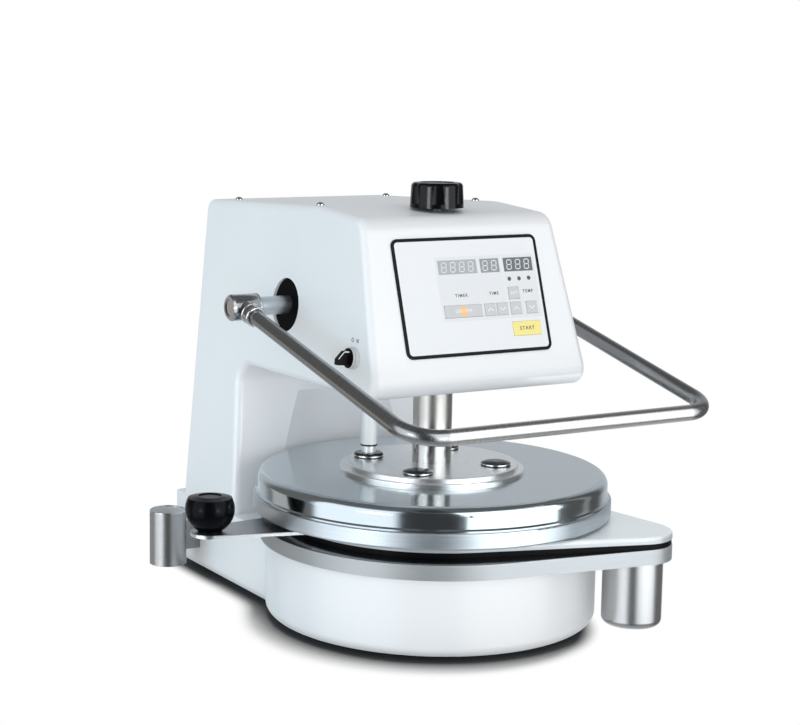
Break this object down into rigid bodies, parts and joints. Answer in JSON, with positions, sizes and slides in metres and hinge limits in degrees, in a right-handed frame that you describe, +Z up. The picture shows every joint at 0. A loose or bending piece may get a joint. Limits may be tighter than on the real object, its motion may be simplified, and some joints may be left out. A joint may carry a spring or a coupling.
{
  "type": "manual heated dough press",
  "caption": "Manual heated dough press: white housing on a round base, polished round heated platen on a ram, U handle, and a swing-out tray with a black ball knob.",
  "frame": {"origin": "on the worktop, under the middle of the part's box at rest", "axes": "+Z up, front with the control panel and the handle bar towards -Y, +X to the right seen from the front"},
  "size_m": [0.5656, 0.7105, 0.5576],
  "materials": {
    "white_enamel": "semi-gloss powder coat",
    "white_tube": "gloss",
    "polished_steel": "mirror polished",
    "brushed_steel": "brushed",
    "machined_aluminium": "machined satin",
    "zinc_steel": "zinc plated",
    "cast_iron": "as cast",
    "bronze": "machined",
    "black_plastic": "matte moulded",
    "gloss_black": "gloss moulded",
    "grey_plastic": "satin moulded",
    "panel_film": "printed film",
    "yellow_key": "printed film",
    "display_glass": "smoked",
    "red_lens": "clear red",
    "green_board": "solder mask",
    "rubber": "matte",
    "wool": "felted mineral wool"
  },
  "bodies": {
    "root": {"base_housing": "white_enamel", "base_cover": "zinc_steel", "feet": "rubber", "cable_gland": "black_plastic", "head_housing": "white_enamel", "top_cover": "white_enamel", "frame_plate_left": "zinc_steel", "frame_plate_right": "zinc_steel", "shaft_bushes": "bronze", "shaft_discs": "black_plastic", "ram_guide": "cast_iron", "ram_bushes": "bronze", "stop_bridge": "cast_iron", "gas_spring_barrels": "black_plastic", "lower_plate": "machined_aluminium", "pivot_case": "brushed_steel", "pivot_bush": "bronze", "control_panel": "panel_film", "control_board": "green_board", "displays": "display_glass", "indicator_leds": "red_lens", "switch_base": "grey_plastic", "utensil_cup": "brushed_steel", "cup_bracket": "brushed_steel"},
    "handle": {"cross_shaft": "zinc_steel", "handle_tube": "brushed_steel", "handle_tees": "polished_steel", "drive_pinion": "zinc_steel"},
    "platen": {"ram": "polished_steel", "ram_cap": "zinc_steel", "crosshead": "cast_iron", "rack": "zinc_steel", "gas_spring_rods": "zinc_steel", "platen_hub": "machined_aluminium", "hub_bolts": "polished_steel", "tube_foot": "brushed_steel", "wire_tube": "white_tube", "platen_cover": "polished_steel", "heated_platen": "machined_aluminium", "heater_ring": "zinc_steel", "insulation": "wool"},
    "tray": {"tray_plate": "machined_aluminium", "slide_pad": "black_plastic", "tray_handle": "brushed_steel", "ball_knob": "black_plastic", "ball_stud": "zinc_steel", "pivot_pin": "zinc_steel", "pivot_nut": "zinc_steel"},
    "thickness_dial": {"thickness_knob": "gloss_black", "stop_spindle": "zinc_steel"},
    "thickness_stop": {"stop_nut": "bronze"},
    "power_switch": {"switch_knob": "black_plastic"},
    "key_power_body": {"key_power": "grey_plastic"},
    "key_set_body": {"key_set": "grey_plastic"},
    "key_up_left_body": {"key_up_left": "grey_plastic"},
    "key_down_left_body": {"key_down_left": "grey_plastic"},
    "key_up_right_body": {"key_up_right": "grey_plastic"},
    "key_down_right_body": {"key_down_right": "grey_plastic"},
    "key_start_body": {"key_start": "yellow_key"}
  },
  "joints": [
    {"name": "handle_pull", "type": "hinge", "parent": "root", "child": "handle", "pos_m": [0.0503, 0.06025, 0.397], "axis": [-1, 0, 0], "range_deg": [0, 60]},
    {"name": "platen_lift", "type": "slide", "parent": "root", "child": "platen", "axis": [0, 0, 1], "range_m": [0, 0.0503]},
    {"name": "tray_swing", "type": "hinge", "parent": "root", "child": "tray", "pos_m": [0.21871, -0.25845, 0.122], "axis": [0, 0, 1], "range_deg": [0, 100]},
    {"name": "thickness_turn", "type": "hinge", "parent": "root", "child": "thickness_dial", "pos_m": [0.0503, -0.05775, 0.52611], "axis": [0, 0, 1], "range_deg": [0, 360]},
    {"name": "thickness_feed", "type": "slide", "parent": "root", "child": "thickness_stop", "axis": [0, 0, -1], "range_m": [0, 0.003]},
    {"name": "power_turn", "type": "hinge", "parent": "root", "child": "power_switch", "pos_m": [-0.11021, -0.11925, 0.35296], "axis": [-0.9962, 0, 0.0869], "range_deg": [0, 90]},
    {"name": "key_power_press", "type": "slide", "parent": "root", "child": "key_power_body", "axis": [0, 0.9527, -0.304], "range_m": [0, 0.0005], "stiffness_N_per_m": 300},
    {"name": "key_set_press", "type": "slide", "parent": "root", "child": "key_set_body", "axis": [0, 0.9527, -0.304], "range_m": [0, 0.0005], "stiffness_N_per_m": 300},
    {"name": "key_up_left_press", "type": "slide", "parent": "root", "child": "key_up_left_body", "axis": [0, 0.9527, -0.304], "range_m": [0, 0.0005], "stiffness_N_per_m": 300},
    {"name": "key_down_left_press", "type": "slide", "parent": "root", "child": "key_down_left_body", "axis": [0, 0.9527, -0.304], "range_m": [0, 0.0005], "stiffness_N_per_m": 300},
    {"name": "key_up_right_press", "type": "slide", "parent": "root", "child": "key_up_right_body", "axis": [0, 0.9527, -0.304], "range_m": [0, 0.0005], "stiffness_N_per_m": 300},
    {"name": "key_down_right_press", "type": "slide", "parent": "root", "child": "key_down_right_body", "axis": [0, 0.9527, -0.304], "range_m": [0, 0.0005], "stiffness_N_per_m": 300},
    {"name": "key_start_press", "type": "slide", "parent": "root", "child": "key_start_body", "axis": [0, 0.9527, -0.304], "range_m": [0, 0.0005], "stiffness_N_per_m": 300}
  ],
  "couplings": [
    {"joint": "platen_lift", "follows": "handle_pull", "m_per_rad": 0.048},
    {"joint": "thickness_feed", "follows": "thickness_turn", "m_per_rad": 0.000477}
  ]
}
